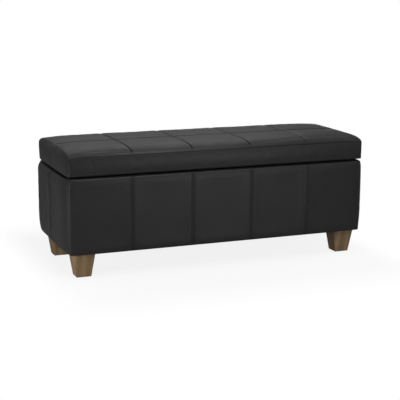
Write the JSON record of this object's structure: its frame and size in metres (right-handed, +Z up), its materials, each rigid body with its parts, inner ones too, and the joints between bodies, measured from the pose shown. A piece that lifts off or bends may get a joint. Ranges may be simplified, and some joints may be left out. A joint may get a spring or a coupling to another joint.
{
  "type": "storage bench",
  "caption": "Long leather-covered storage bench on tapered wooden legs, with a thick padded lid that lifts on rear hinges and is stopped by slotted stays.",
  "frame": {"origin": "on the floor under the middle of the bench", "axes": "+X runs along the bench to its right end, -Y is the front, +Y is the hinge side at the back, +Z is up"},
  "size_m": [1.223, 0.454, 0.48],
  "materials": {
    "leather": "satin",
    "foam": "matte",
    "board": "matte",
    "stained_wood": "satin",
    "steel": "satin",
    "lining": "matte",
    "glide_plastic": "matte",
    "bumper_rubber": "matte"
  },
  "bodies": {
    "box": {"front_panel": "board", "back_panel": "board", "left_panel": "board", "right_panel": "board", "bottom_panel": "board", "post_front_left": "board", "post_front_right": "board", "post_back_left": "board", "post_back_right": "board", "front_padding": "foam", "back_padding": "foam", "left_padding": "foam", "right_padding": "foam", "front_cover": "leather", "back_cover": "leather", "left_cover": "leather", "right_cover": "leather", "interior_lining": "lining", "dust_cover": "lining", "leg_front_left": "stained_wood", "leg_front_right": "stained_wood", "leg_back_left": "stained_wood", "leg_back_right": "stained_wood", "glide_front_left": "glide_plastic", "glide_front_right": "glide_plastic", "glide_back_left": "glide_plastic", "glide_back_right": "glide_plastic", "leg_bolts": "steel", "tee_nuts": "steel", "hinge_left_body_leaf": "steel", "hinge_centre_body_leaf": "steel", "hinge_right_body_leaf": "steel", "hinge_left_pin": "steel", "hinge_centre_pin": "steel", "hinge_right_pin": "steel", "body_leaf_screws": "steel", "stay_left_wall_plate": "steel", "stay_right_wall_plate": "steel", "stay_left_stud": "steel", "stay_right_stud": "steel", "wall_plate_screws": "steel", "rim_bumpers": "bumper_rubber"},
    "lid": {"lid_board": "board", "lid_foam": "foam", "lid_cover": "leather", "lid_lining": "lining", "hinge_left_lid_leaf": "steel", "hinge_centre_lid_leaf": "steel", "hinge_right_lid_leaf": "steel", "lid_leaf_screws": "steel", "stay_left_bracket": "steel", "stay_right_bracket": "steel", "stay_left_rivet": "steel", "stay_right_rivet": "steel", "bracket_screws": "steel"},
    "stay_left": {"stay_left_arm": "steel"},
    "stay_right": {"stay_right_arm": "steel"}
  },
  "joints": [
    {"name": "lid_hinge", "type": "hinge", "parent": "box", "child": "lid", "pos_m": [0, 0.222, 0.37775], "axis": [-1, 0, 0], "range_deg": [0, 85]},
    {"name": "stay_left_pivot", "type": "hinge", "parent": "lid", "child": "stay_left", "pos_m": [-0.5614, 0.09638, 0.368], "axis": [-1, 0, 0], "range_deg": [-42.5, 0]},
    {"name": "stay_right_pivot", "type": "hinge", "parent": "lid", "child": "stay_right", "pos_m": [0.5614, 0.09638, 0.368], "axis": [-1, 0, 0], "range_deg": [-42.5, 0]}
  ],
  "couplings": [
    {"joint": "stay_left_pivot", "follows": "lid_hinge", "ratio": -0.5},
    {"joint": "stay_right_pivot", "follows": "lid_hinge", "ratio": -0.5}
  ]
}
